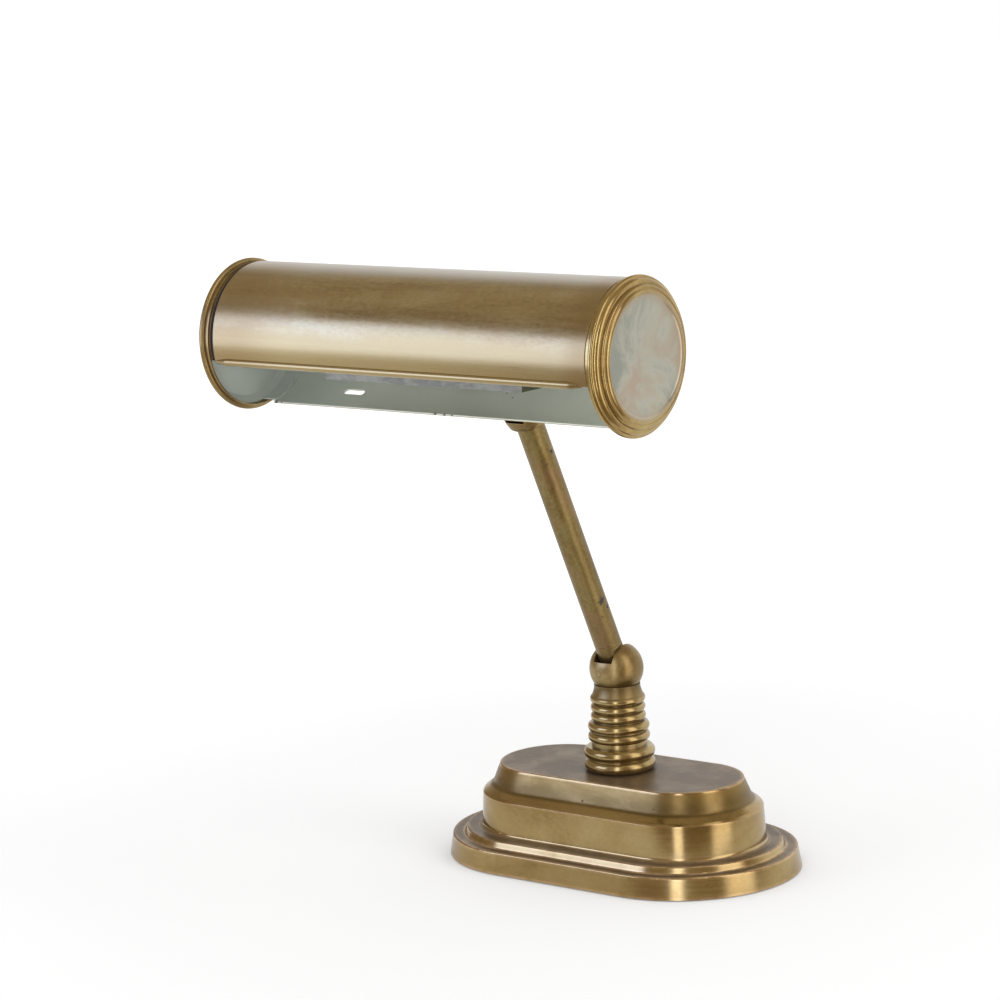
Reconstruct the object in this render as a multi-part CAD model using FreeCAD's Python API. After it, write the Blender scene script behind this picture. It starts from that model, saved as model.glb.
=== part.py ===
import FreeCAD
import Part
import math
import os
from FreeCAD import Vector

# Desk lamp for a piano: a stepped oval base, a turned spindle, an arm between two slotted ball
# knuckles, and a long tubular shade. Millimetres, +Z up, the shade lies along X and leans to -Y.
# The origin is at the centre of the felt that the lamp stands on.

# ---- base casing: an oval, its outline a straight run between two half circles ----
oval_half_straight = 45.0
casing_wall = 1.2
rim_lift = 0.5
plate_foot_radius = 68.1
plate_top_radius = 66.0
plate_top_height = 13.1
ridge_foot_radius = 58.9
ridge_top_radius = 57.2
ridge_top_height = 17.0
wall_foot_radius = 48.0
wall_top_radius = 46.8
wall_top_height = 37.8
ogee_bulge_inset = 1.2
ogee_bulge_rise = 1.5
ogee_hollow_inset = 6.2
ogee_hollow_rise = 5.0
ogee_bulge_round = 2.0
ogee_hollow_round = 5.0
base_top_radius = 35.6
base_height = 55.0
crisp_edge = 0.4
soft_edge = 0.9
wall_foot_cove = 2.4

# ---- what is under the casing ----
felt_thickness = 1.5
bottom_plate_thickness = 1.0
bottom_plate_gap = 0.3
weight_gap = 0.5
weight_recess_radius = 15.0
weight_recess_depth = 9.0
lead_channel_width = 9.0
plate_screw_spacing = 80.0
plate_screw_head_radius = 3.0
plate_screw_radius = 1.5
plate_screw_length = 9.0

# ---- cord inlet in the rear of the base ----
cord_bore_radius = 2.7
bush_wall = 0.9
bush_gap = 0.1
bush_flange_thickness = 1.6

# ---- threaded stud through base and spindle ----
stud_radius = 5.0
stud_bore_radius = 3.4
stud_foot_height = 4.0
thread_gap = 0.05
hole_gap = 0.25
nut_width = 15.0
nut_thickness = 5.0
washer_radius = 10.0
washer_thickness = 1.4

# ---- spindle: rings as height of the middle above the base, outer radius, half height ----
spindle_rings = (
    (3.5, 21.1, 3.5),
    (10.9, 21.1, 3.5),
    (20.4, 18.4, 2.9),
    (26.5, 18.3, 2.8),
    (32.5, 16.35, 2.7),
    (37.8, 16.25, 2.5),
)
ring_depth = 2.1
collar_height = 43.1
collar_radius = 16.3
collar_half_height = 2.7
cove_top_radius = 13.7
cove_top_height = 50.0
spindle_seat_height = 51.8
shank_radius = 8.0
shank_length = 12.0

# ---- knuckles: slotted balls that clamp a flat tongue on a screw along X ----
lower_ball_radius = 16.05
lower_ball_height = 61.2
upper_ball_radius = 13.05
knuckle_slot_width = 12.8
tongue_thickness = 12.2
tongue_gap = 0.3
pivot_gap = 0.05
lower_swing_front = 33.5
lower_swing_back = 38.5
lower_mouth_height = 5.6
upper_swing = 58.0
upper_mouth_height = 1.5
pivot_radius = 3.0
screw_head_radius = 4.6
screw_head_height = 2.6
screw_head_sink = 0.5
screw_bite = 5.0
screw_slot_width = 1.0
screw_slot_depth = 1.1
lead_hole_radius = 3.0
lead_gap = 0.05

# ---- arm: local axis from the lower pivot, t is the distance along it ----
arm_radius = 8.05
arm_wall = 1.0
arm_lean = 25.16
arm_shoulder = 17.2
arm_tube_start = 20.0
arm_tube_seam = 0.25
arm_plug_length = 12.0
plug_gap = 0.05
upper_pivot_distance = 182.5
arm_collar_drop = 6.9
arm_collar_radius = 11.8
arm_collar_thickness = 2.4

# ---- shade stem: local axis from the upper pivot to the shade's axis ----
stem_lean = 58.1
stem_reach = 91.8
stem_shoulder = 14.4
stem_tongue_radius = 6.5
stem_radius = 6.6
stem_cove_length = 4.0
saddle_radius = 12.0
saddle_skirt = 3.4
stem_thread_show = 0.9
stem_nut_width = 13.0

# ---- shade shell: angles run from straight forward, downwards ----
shade_radius = 41.4
shade_wall = 1.0
neck_depth = 1.5
shade_right_end = 131.1
shade_left_end = 126.0
lip_edge_angle = 14.6
back_edge_angle = 100.4
lip_bead_radius = 2.2
lip_bead_inset = 0.5
lip_bead_angle = 14.4
lip_bead_right_margin = 3.0
lip_bead_left_margin = 0.6
lip_bead_taper = 8.0
lip_bead_end_radius = 0.9
vent_slot_length = 14.4
vent_slot_width = 4.2
vent_slot_position = -78.0
vent_slot_angle = 123.1

# ---- end caps: x runs out from the middle of the rim bead, insets run in from the tube's outside ----
cap_stand_off = 3.9
left_cap_slip = 3.8
cap_gap = 0.1
cap_wall = 1.5
cap_bead_radius = 1.6
cap_overhang = 1.6
cap_skirt_inset = 0.4
cap_seat_depth = 0.8
cap_seat_inset = 2.3
cap_step_reach = 3.7
cap_step_inset = 3.4
cap_step_bulge = 0.8
cap_groove_reach = 5.2
cap_groove_inset = 5.8
cap_ring_bulge = 0.9
cap_crest_reach = 6.2
cap_crest_inset = 7.4
cap_face_reach = 5.6
cap_face_inset = 10.0

# ---- lamp bracket, lampholders and bulbs: from the shade's axis ----
sheet_thickness = 1.2
bracket_half_length = 68.5
bracket_front = 13.5
bracket_rear = 12.0
bracket_drop = 20.8
bracket_flange = 4.0
tab_half_width = 9.5
tab_half_height = 7.6
tab_elbow = 17.0
tab_gap = 2.0
saddle_washer_radius = 7.4
lug_position = 22.0
lug_half_width = 10.0
lug_top = 9.0
holder_foot_radius = 9.0
holder_foot_length = 4.0
holder_radius = 11.6
holder_length = 28.0
holder_rim_radius = 12.3
holder_rim_length = 2.4
holder_mouth_radius = 7.7
holder_mouth_depth = 23.0
holder_nipple_length = 6.0
holder_nut_width = 13.0
holder_nut_thickness = 3.0
bulb_cap_radius = 6.9
bulb_cap_length = 23.0
bulb_contact_radius = 3.5
bulb_contact_length = 4.0
bulb_neck_radius = 6.6
bulb_radius = 11.0
bulb_neck_length = 3.0
bulb_shoulder = 9.0
bulb_length = 54.0
glass_wall = 0.8
lead_bend = 11.0
lead_in_stem = 25.0

X_AXIS = Vector(1, 0, 0)
Z_AXIS = Vector(0, 0, 1)
ORIGIN = Vector(0, 0, 0)

# ---- places worked out from the sizes above ----
lower_pivot = Vector(0, 0, base_height + lower_ball_height)
arm_tube_end = upper_pivot_distance - arm_collar_drop
upper_pivot = lower_pivot + Vector(
    0,
    -upper_pivot_distance * math.sin(math.radians(arm_lean)),
    upper_pivot_distance * math.cos(math.radians(arm_lean)),
)
shade_centre = upper_pivot + Vector(
    0,
    -stem_reach * math.sin(math.radians(stem_lean)),
    stem_reach * math.cos(math.radians(stem_lean)),
)
casing_ledge_underside = ridge_top_height - casing_wall
casing_top_underside = base_height - casing_wall
plate_bottom = felt_thickness
plate_top = felt_thickness + bottom_plate_thickness
weight_top = casing_ledge_underside
recess_roof = plate_top + weight_recess_depth
spindle_seat = base_height + spindle_seat_height
shank_foot = spindle_seat - shank_length
shade_inside = shade_radius - shade_wall
neck_radius = shade_radius - neck_depth
right_cap_position = shade_right_end + cap_stand_off
left_cap_position = shade_left_end + cap_stand_off + left_cap_slip
right_neck_end = right_cap_position + cap_seat_depth
left_neck_end = -left_cap_position - cap_seat_depth
plate_ceiling = plate_top_height - casing_wall
bush_height = (plate_top + plate_ceiling) / 2
bush_flange_radius = (plate_ceiling - plate_top) / 2 - bush_gap
bush_barrel_radius = cord_bore_radius + bush_wall
arm_lead_radius = lead_hole_radius - lead_gap
holder_lead_radius = arm_lead_radius / 2
tab_distance = shade_inside - tab_gap
stem_nut_seat = stem_reach - tab_distance + sheet_thickness
stem_thread_end = stem_nut_seat + nut_thickness + stem_thread_show


# ---- shapes from outlines ----
def in_plane_xz(a, b):
    return Vector(a, 0, b)


def in_plane_yz(a, b):
    return Vector(0, a, b)


def rounded_face(corners, place):
    # corners are (a, b, rounding); each rounding becomes an arc, held within its two runs
    count = len(corners)
    points = [place(c[0], c[1]) for c in corners]
    starts = []
    ends = []
    middles = []
    for i in range(count):
        here = points[i]
        before = points[i - 1] - here
        after = points[(i + 1) % count] - here
        rounding = corners[i][2]
        half_angle = before.getAngle(after) / 2.0
        if rounding <= 0 or half_angle > math.radians(89.9):
            starts.append(here)
            ends.append(here)
            middles.append(None)
            continue
        before_share = 0.49 if corners[i - 1][2] > 0 else 0.99
        after_share = 0.49 if corners[(i + 1) % count][2] > 0 else 0.99
        reach = min(
            rounding / math.tan(half_angle), before_share * before.Length, after_share * after.Length)
        radius = reach * math.tan(half_angle)
        before.normalize()
        after.normalize()
        towards = before + after
        towards.normalize()
        starts.append(here + before * reach)
        ends.append(here + after * reach)
        middles.append(here + towards * (radius / math.sin(half_angle) - radius))
    edges = []
    for i in range(count):
        if middles[i] is not None:
            edges.append(Part.Arc(starts[i], middles[i], ends[i]).toShape())
        run_end = starts[(i + 1) % count]
        if ends[i].distanceToPoint(run_end) > 1e-6:
            edges.append(Part.makeLine(ends[i], run_end))
    return Part.Face(Part.Wire(edges))


def turned(corners):
    # a solid of revolution about Z from corners (radius, height, rounding)
    return rounded_face(corners, in_plane_xz).revolve(ORIGIN, Z_AXIS, 360)


def turned_on_x(corners):
    # a solid of revolution about X from corners (x, radius, rounding)
    return rounded_face(corners, in_plane_xz).revolve(ORIGIN, X_AXIS, 360)


def oval_solid(corners):
    # corners are (radius, height, rounding), and the outline runs round the oval
    half = oval_half_straight
    right = rounded_face(corners, lambda r, z: Vector(half, -r, z))
    left = rounded_face(corners, lambda r, z: Vector(-half, r, z))
    right_end = right.revolve(Vector(half, 0, 0), Z_AXIS, 180)
    left_end = left.revolve(Vector(-half, 0, 0), Z_AXIS, 180)
    front = right.extrude(Vector(-2 * half, 0, 0))
    rear = left.extrude(Vector(2 * half, 0, 0))
    return right_end.fuse([left_end, front, rear]).removeSplitter()


def oval_slab(radius, bottom, top):
    return oval_solid([(0, bottom, 0), (radius, bottom, 0), (radius, top, 0), (0, top, 0)])


def rod(radius, start, end):
    return Part.makeCylinder(radius, (end - start).Length, start, end - start)


def upright(radius, bottom, top):
    return rod(radius, Vector(0, 0, bottom), Vector(0, 0, top))


def along_x(radius, start, end):
    return rod(radius, Vector(start, 0, 0), Vector(end, 0, 0))


def block(low, high):
    size = high - low
    return Part.makeBox(size.x, size.y, size.z, low)


def hexagon(width, bottom, top):
    # across flats, about Z
    corner = width / math.sqrt(3)
    points = []
    for k in range(7):
        turn = math.radians(60 * k)
        points.append(Vector(corner * math.cos(turn), corner * math.sin(turn), bottom))
    return Part.Face(Part.makePolygon(points)).extrude(Vector(0, 0, top - bottom))


def bent_sheet(path, thickness, low_x, high_x):
    # a sheet folded along path, its points (y, z) on the middle of the thickness
    points = [in_plane_yz(y, z) for y, z in path]
    sides = ([], [])
    for i, point in enumerate(points):
        arriving = points[max(i, 1)] - points[max(i, 1) - 1]
        leaving = points[min(i + 1, len(points) - 1)] - points[min(i, len(points) - 2)]
        arriving.normalize()
        leaving.normalize()
        along = arriving + leaving
        along.normalize()
        across = Vector(0, -along.z, along.y)
        reach = thickness / 2 / max(along.dot(arriving), 0.2)
        sides[0].append(point + across * reach)
        sides[1].append(point - across * reach)
    corners = sides[0] + sides[1][::-1]
    face = Part.Face(Part.makePolygon(corners + corners[:1]))
    face.translate(Vector(low_x, 0, 0))
    return face.extrude(Vector(high_x - low_x, 0, 0))


def placed(shape, pivot, lean):
    # from a local frame with its axis along +Z to the leaning piece about pivot
    shape = shape.copy()
    shape.rotate(ORIGIN, X_AXIS, lean)
    shape.translate(pivot)
    return shape


def mirrored(shape):
    return shape.mirror(ORIGIN, X_AXIS)


def pair(shape):
    return Part.makeCompound([shape, mirrored(shape)])


# ---- base ----
def casing_outline():
    # the casing's section, from its foot over plate, ridge and wall to the ogee under the top
    return [
        (0, rim_lift, 0),
        (plate_foot_radius, rim_lift, 0),
        (plate_top_radius, plate_top_height, soft_edge),
        (ridge_foot_radius, plate_top_height, soft_edge),
        (ridge_top_radius, ridge_top_height, soft_edge),
        (wall_foot_radius, ridge_top_height, wall_foot_cove),
        (wall_top_radius, wall_top_height, crisp_edge),
        (wall_top_radius - ogee_bulge_inset, wall_top_height + ogee_bulge_rise, ogee_bulge_round),
        (wall_top_radius - ogee_hollow_inset, wall_top_height + ogee_hollow_rise, ogee_hollow_round),
        (base_top_radius, base_height, soft_edge),
        (0, base_height, 0),
    ]


def casing_inside():
    # the same section moved in and down by the wall, with only its large rounds
    corners = []
    for radius, height, rounding in casing_outline():
        inner_radius = max(radius - casing_wall, 0)
        inner_rounding = rounding if rounding > casing_wall else 0
        corners.append((inner_radius, height - casing_wall, inner_rounding))
    return corners


def plate_radius_at(height):
    # outer radius of the tapered plate wall
    share = (height - rim_lift) / (plate_top_height - rim_lift)
    return plate_foot_radius + (plate_top_radius - plate_foot_radius) * share


def bush_rod(radius, start, end):
    return rod(radius, Vector(0, start, bush_height), Vector(0, end, bush_height))


def make_base_casing():
    body = oval_solid(casing_outline())
    hollow = oval_solid(casing_inside())
    stud_hole = upright(stud_radius + hole_gap, casing_top_underside - 1, base_height + 1)
    wall_outside = plate_radius_at(bush_height)
    inlet = bush_rod(
        bush_barrel_radius + thread_gap, wall_outside - 2 * casing_wall, wall_outside + casing_wall)
    return body.cut([hollow, stud_hole, inlet])


def make_cord_bush():
    outer = oval_solid(casing_outline())
    inner = oval_solid(casing_inside())
    outside = plate_radius_at(bush_height) + bush_flange_thickness
    inside = plate_radius_at(bush_height) - casing_wall - bush_flange_thickness
    front_flange = bush_rod(bush_flange_radius, inside, outside).cut(outer)
    rear_flange = bush_rod(bush_flange_radius, inside, outside).common(inner)
    barrel = bush_rod(bush_barrel_radius, inside, outside)
    bore = bush_rod(cord_bore_radius, inside - 1, outside + 1)
    return barrel.fuse([front_flange, rear_flange]).cut(bore).removeSplitter()


def make_felt_pad():
    return oval_slab(plate_radius_at(plate_top) - casing_wall - bottom_plate_gap, 0, felt_thickness)


def plate_screw_places():
    return [Vector(-plate_screw_spacing / 2, 0, 0), Vector(plate_screw_spacing / 2, 0, 0)]


def plate_screw_blank(grow):
    head_radius = plate_screw_head_radius + grow
    foot = Vector(0, 0, plate_bottom)
    head = Part.makeCone(head_radius, plate_screw_radius + grow, bottom_plate_thickness, foot)
    shank = upright(plate_screw_radius + grow, plate_bottom, plate_bottom + plate_screw_length)
    return head.fuse(shank)


def make_plate_screws():
    screws = []
    for place in plate_screw_places():
        screw = plate_screw_blank(0)
        screw.translate(place)
        screws.append(screw)
    return Part.makeCompound(screws)


def plate_screw_holes():
    holes = []
    for place in plate_screw_places():
        hole = plate_screw_blank(thread_gap)
        hole.translate(place)
        holes.append(hole)
    return holes


def make_bottom_plate():
    radius = plate_radius_at(plate_top) - casing_wall - bottom_plate_gap
    return oval_slab(radius, plate_bottom, plate_top).cut(plate_screw_holes())


def make_base_weight():
    radius = ridge_top_radius - casing_wall - weight_gap
    slab = oval_solid([
        (0, plate_top, 0),
        (radius, plate_top, 0),
        (radius, weight_top, 0),
        (0, weight_top, 0),
    ])
    recess = upright(weight_recess_radius, plate_top - 1, recess_roof)
    hole = upright(stud_radius + hole_gap, recess_roof - 1, weight_top + 1)
    channel = block(
        Vector(-lead_channel_width / 2, 0, plate_top - 1),
        Vector(lead_channel_width / 2, plate_foot_radius, recess_roof))
    return slab.cut([recess, hole, channel] + plate_screw_holes())


def make_base_stud():
    top = spindle_seat - thread_gap * 10 - 2.5
    return upright(stud_radius, stud_foot_height, top).cut(upright(stud_bore_radius, 0, top + 1))


def nut(top, width, thickness, bore):
    return hexagon(width, top - thickness, top).cut(upright(bore, top - thickness - 1, top + 1))


def washer(top, radius, thickness, bore):
    return upright(radius, top - thickness, top).cut(upright(bore, top - thickness - 1, top + 1))


def make_stud_nuts():
    tops = (recess_roof - washer_thickness, casing_top_underside - washer_thickness)
    bore = stud_radius + thread_gap
    return Part.makeCompound([nut(top, nut_width, nut_thickness, bore) for top in tops])


def make_stud_washers():
    tops = (recess_roof, casing_top_underside)
    bore = stud_radius + hole_gap
    return Part.makeCompound([washer(top, washer_radius, washer_thickness, bore) for top in tops])


def spindle_edges():
    # the turned outline from the axis, out and up round each ring, and back to the axis
    at = [ORIGIN + Vector(0, 0, base_height)]
    edges = []

    def line_to(radius, height):
        end = Vector(radius, 0, base_height + height)
        if end.distanceToPoint(at[0]) > 1e-6:
            edges.append(Part.makeLine(at[0], end))
        at[0] = end

    def arc_to(mid_radius, mid_height, radius, height):
        end = Vector(radius, 0, base_height + height)
        middle = Vector(mid_radius, 0, base_height + mid_height)
        edges.append(Part.Arc(at[0], middle, end).toShape())
        at[0] = end

    top_of_last = 0.0
    for middle, radius, half in spindle_rings:
        root = radius - ring_depth
        line_to(root, top_of_last)
        line_to(root, middle - half)
        arc_to(radius, middle, root, middle + half)
        top_of_last = middle + half
    root = collar_radius - ring_depth
    line_to(root, top_of_last)
    line_to(root, collar_height - collar_half_height)
    cove_start = collar_radius - ring_depth / 2
    cove_foot = collar_height + collar_half_height * 0.8
    arc_to(collar_radius, collar_height - ring_depth / 4, cove_start, cove_foot)
    hollow_radius = cove_top_radius + (cove_start - cove_top_radius) * 0.35
    hollow_height = cove_top_height - (cove_top_height - cove_foot) * 0.45
    arc_to(hollow_radius, hollow_height, cove_top_radius, cove_top_height)
    line_to(cove_top_radius, spindle_seat_height)
    line_to(0, spindle_seat_height)
    line_to(0, 0)
    return edges


def make_spindle():
    body = Part.Face(Part.Wire(spindle_edges())).revolve(ORIGIN, Z_AXIS, 360)
    bore = upright(stud_radius + thread_gap, base_height - 1, spindle_seat)
    socket = upright(shank_radius + thread_gap, shank_foot, spindle_seat + 1)
    return body.cut([bore, socket])


# ---- knuckles and their screws ----
def slot_side(floor_radius, length, swing):
    # one sloping end of the slot, from its floor out to its mouth, towards +Y
    angle = math.radians(swing)
    floor = in_plane_yz(floor_radius * math.cos(angle), -floor_radius * math.sin(angle))
    mouth = floor + in_plane_yz(length * math.sin(angle), length * math.cos(angle))
    return floor, mouth


def slot_cutter(ball_radius, tongue_radius, swing_front, swing_back, mouth_height):
    # the fan that the tongue swings in: a round floor, two sloping ends with level lips, open at the top
    floor_radius = tongue_radius + tongue_gap
    length = 2 * ball_radius
    rear_floor, rear_mouth = slot_side(floor_radius, length, swing_back)
    front_floor, front_mouth = slot_side(floor_radius, length, swing_front)
    front_floor.y = -front_floor.y
    front_mouth.y = -front_mouth.y
    top = in_plane_yz(0, 3 * ball_radius)
    fan = Part.Face(Part.makePolygon([front_floor, front_mouth, top, rear_mouth, rear_floor, front_floor]))
    half = knuckle_slot_width / 2
    fan.translate(Vector(-half, 0, 0))
    lip_start = floor_radius / math.cos(math.radians(swing_front)) + mouth_height * math.tan(
        math.radians(swing_front))
    lip = block(
        Vector(-half, -length, mouth_height), Vector(half, -lip_start + thread_gap, length))
    pocket = along_x(floor_radius, -half, half)
    return fan.extrude(Vector(2 * half, 0, 0)).fuse([pocket, lip])


def screw_head_outside(ball_radius):
    return -math.sqrt(ball_radius ** 2 - screw_head_radius ** 2) + screw_head_sink


def screw_holes(ball_radius):
    outside = screw_head_outside(ball_radius)
    seat = outside + screw_head_height
    tip = knuckle_slot_width / 2 + screw_bite
    return [
        along_x(screw_head_radius + 3 * thread_gap, -2 * ball_radius, seat),
        along_x(pivot_radius + thread_gap, seat - 1, tip + thread_gap),
    ]


def pivot_screw(ball_radius):
    outside = screw_head_outside(ball_radius)
    seat = outside + screw_head_height
    tip = knuckle_slot_width / 2 + screw_bite
    head = along_x(screw_head_radius, outside, seat)
    half = screw_slot_width / 2
    slot = block(
        Vector(outside - 1, -2 * screw_head_radius, -half),
        Vector(outside + screw_slot_depth, 2 * screw_head_radius, half))
    return head.cut(slot).fuse(along_x(pivot_radius, seat - thread_gap, tip))


def make_lower_knuckle():
    seat = spindle_seat - lower_pivot.z
    ball = Part.makeSphere(lower_ball_radius)
    ball = ball.cut(upright(2 * lower_ball_radius, -2 * lower_ball_radius, seat))
    shank = upright(shank_radius, seat - shank_length + thread_gap * 4, seat + 1)
    stud_socket = upright(stud_radius + thread_gap, seat - shank_length - 1, seat - 2.5)
    lead_hole = upright(lead_hole_radius, seat - 4, 0)
    slot = slot_cutter(
        lower_ball_radius, arm_radius, lower_swing_front, lower_swing_back, lower_mouth_height)
    tools = [stud_socket, lead_hole, slot]
    body = ball.fuse(shank).cut(tools + screw_holes(lower_ball_radius))
    return placed(body, lower_pivot, 0)


def make_lower_pivot_screw():
    return placed(pivot_screw(lower_ball_radius), lower_pivot, 0)


# ---- arm ----
def flat_tongue(tongue_radius, shoulder):
    # a round bar's end filed flat on both sides and rounded about the pivot
    bar = upright(arm_radius, -tongue_radius, shoulder)
    half = tongue_thickness / 2
    flats = block(Vector(-half, -tongue_radius, 0), Vector(half, tongue_radius, shoulder))
    flats = flats.fuse(along_x(tongue_radius, -half, half))
    return bar.common(flats)


def tongue_passages(shoulder, bore_radius):
    # the pivot bore, and the way for the lead: behind the pivot, then into the middle of the bar
    groove_floor = pivot_radius + 3 * tongue_gap
    half = bore_radius * 0.9
    top = shoulder * 0.75
    groove = block(Vector(-half, groove_floor, -2 * arm_radius), Vector(half, 2 * arm_radius, top))
    crossing = block(Vector(-half, 0, groove_floor + 2), Vector(half, groove_floor + 1, top))
    pivot = along_x(pivot_radius + pivot_gap, -arm_radius, arm_radius)
    return [groove, crossing, pivot]


def make_arm_tongue():
    plug_top = arm_tube_start + arm_plug_length
    body = flat_tongue(arm_radius, arm_shoulder).fuse([
        upright(arm_radius, arm_shoulder, arm_tube_start),
        upright(arm_radius - arm_wall - plug_gap, arm_tube_start, plug_top),
    ])
    bore = upright(lead_hole_radius, arm_shoulder * 0.6, plug_top + 1)
    body = body.cut(tongue_passages(arm_shoulder, lead_hole_radius) + [bore])
    return placed(body.removeSplitter(), lower_pivot, arm_lean)


def make_arm_tube():
    tube = upright(arm_radius, arm_tube_start + arm_tube_seam, arm_tube_end)
    tube = tube.cut(upright(arm_radius - arm_wall, arm_tube_start - 1, arm_tube_end + 1))
    return placed(tube, lower_pivot, arm_lean)


def make_arm_lead():
    lead = upright(arm_lead_radius, arm_shoulder * 0.6 + 1, arm_tube_end)
    return placed(lead, lower_pivot, arm_lean)


def make_upper_knuckle():
    # in a local frame at the upper pivot, with the arm below it
    tube_end = arm_tube_end - upper_pivot_distance
    collar_top = tube_end + arm_collar_thickness
    ball = Part.makeSphere(upper_ball_radius)
    ball = ball.cut(upright(2 * upper_ball_radius, -2 * upper_ball_radius, collar_top))
    collar = turned([
        (0, tube_end, 0),
        (arm_collar_radius, tube_end, arm_collar_thickness * 0.45),
        (arm_collar_radius, collar_top, arm_collar_thickness * 0.45),
        (0, collar_top, 0),
    ])
    plug = upright(arm_radius - arm_wall - plug_gap, tube_end - arm_plug_length, tube_end)
    lead_hole = upright(lead_hole_radius, tube_end - arm_plug_length - 1, 0)
    slot = slot_cutter(
        upper_ball_radius, stem_tongue_radius, upper_swing, upper_swing, upper_mouth_height)
    tools = [lead_hole, slot]
    body = ball.fuse([collar, plug]).cut(tools + screw_holes(upper_ball_radius))
    return placed(body, upper_pivot, arm_lean)


def make_upper_pivot_screw():
    return placed(pivot_screw(upper_ball_radius), upper_pivot, arm_lean)


# ---- shade stem and its fixing ----
def shade_drum(radius):
    # a long cylinder about the shade's axis, in the stem's local frame
    return rod(radius, Vector(-saddle_radius * 3, 0, stem_reach), Vector(saddle_radius * 3, 0, stem_reach))


def make_shade_stem():
    collar_top = stem_shoulder + 2.0
    neck_foot = collar_top + stem_cove_length
    saddle_top = stem_reach - shade_radius
    saddle_foot = saddle_top - saddle_skirt
    column = turned([
        (0, stem_shoulder, 0),
        (arm_radius, stem_shoulder, 0),
        (arm_radius, collar_top, soft_edge),
        (stem_radius, neck_foot, stem_cove_length),
        (stem_radius, saddle_foot, stem_cove_length),
        (saddle_radius, saddle_foot, soft_edge),
        (saddle_radius, saddle_top + 3, 0),
        (0, saddle_top + 3, 0),
    ])
    column = column.cut(shade_drum(shade_radius))
    thread = upright(stud_radius, saddle_foot, stem_thread_end)
    body = flat_tongue(stem_tongue_radius, stem_shoulder).fuse([column, thread])
    bore = upright(lead_hole_radius, stem_shoulder * 0.6, stem_thread_end + 1)
    body = body.cut(tongue_passages(stem_shoulder, lead_hole_radius) + [bore])
    return placed(body.removeSplitter(), upper_pivot, stem_lean)


def make_saddle_washer():
    # curved to the shell's inside, flat towards the bracket
    flat_at = stem_reach - tab_distance
    body = upright(saddle_washer_radius, flat_at - 6, flat_at).common(shade_drum(shade_inside))
    body = body.cut(upright(stud_radius + hole_gap, 0, stem_reach))
    return placed(body, upper_pivot, stem_lean)


def make_stem_nut():
    body = nut(stem_nut_seat + nut_thickness, stem_nut_width, nut_thickness, stud_radius + thread_gap)
    return placed(body, upper_pivot, stem_lean)


# ---- shade: built about its own axis, then moved to it ----
def in_shade(shape):
    shape = shape.copy()
    shape.translate(shade_centre)
    return shape


def round_shade(radius, angle):
    # a point at an angle from straight forward, downwards
    return Vector(0, -radius * math.cos(math.radians(angle)), -radius * math.sin(math.radians(angle)))


def radial_cutter(shape, angle):
    # from a local frame with its axis along -Y to the angle round the shade
    shape = shape.copy()
    shape.rotate(ORIGIN, X_AXIS, angle)
    return shape


def vent_slot():
    half = vent_slot_length / 2
    end_radius = vent_slot_width / 2
    low = vent_slot_position - half + end_radius
    high = vent_slot_position + half - end_radius
    ends = [rod(end_radius, Vector(x, 0, 0), Vector(x, -2 * shade_radius, 0)) for x in (low, high)]
    middle = block(Vector(low, -2 * shade_radius, -end_radius), Vector(high, 0, end_radius))
    return radial_cutter(middle.fuse(ends), vent_slot_angle)


def lip_bead():
    # the rolled edge, its ends drawn down onto the sheet
    left = -shade_left_end + lip_bead_left_margin
    right = shade_right_end - lip_bead_right_margin
    bead = turned_on_x([
        (left, 0, 0),
        (left, lip_bead_end_radius, lip_bead_end_radius),
        (left + lip_bead_taper, lip_bead_radius, lip_bead_taper),
        (right - lip_bead_taper, lip_bead_radius, lip_bead_taper),
        (right, lip_bead_end_radius, lip_bead_end_radius),
        (right, 0, 0),
    ])
    bead.translate(round_shade(shade_radius - lip_bead_inset, lip_bead_angle))
    return bead


def shade_part(face):
    # the shell's angular range, from the back edge over the top to the lip
    face.rotate(ORIGIN, X_AXIS, back_edge_angle)
    return face.revolve(ORIGIN, X_AXIS, 360 - back_edge_angle + lip_edge_angle)


def make_shade_shell():
    # a rolled sheet, necked at both ends to go into the caps
    left = -shade_left_end
    right = shade_right_end
    neck_inside = neck_radius - shade_wall
    section = [
        (left_neck_end, neck_inside, 0),
        (left_neck_end, neck_radius, 0),
        (left, neck_radius, 0),
        (left, shade_radius, crisp_edge),
        (right, shade_radius, crisp_edge),
        (right, neck_radius, 0),
        (right_neck_end, neck_radius, 0),
        (right_neck_end, neck_inside, 0),
        (right - shade_wall, neck_inside, 0),
        (right - shade_wall, shade_inside, 0),
        (left + shade_wall, shade_inside, 0),
        (left + shade_wall, neck_inside, 0),
    ]
    shell = shade_part(rounded_face(section, lambda x, r: Vector(x, -r, 0)))
    stem_hole = rod(stud_radius + hole_gap, ORIGIN, Vector(0, -2 * shade_radius, 0))
    stem_hole = radial_cutter(stem_hole, 90 + stem_lean)
    return in_shade(shell.fuse(lip_bead()).cut([stem_hole, vent_slot()]))


def arc_between(start, end, bulge):
    # an arc from start to end, bulging to the left of the way by bulge
    along = end - start
    across = Vector(-along.z, 0, along.x)
    across.normalize()
    return Part.Arc(start, (start + end) * 0.5 + across * bulge, end).toShape()


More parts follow.
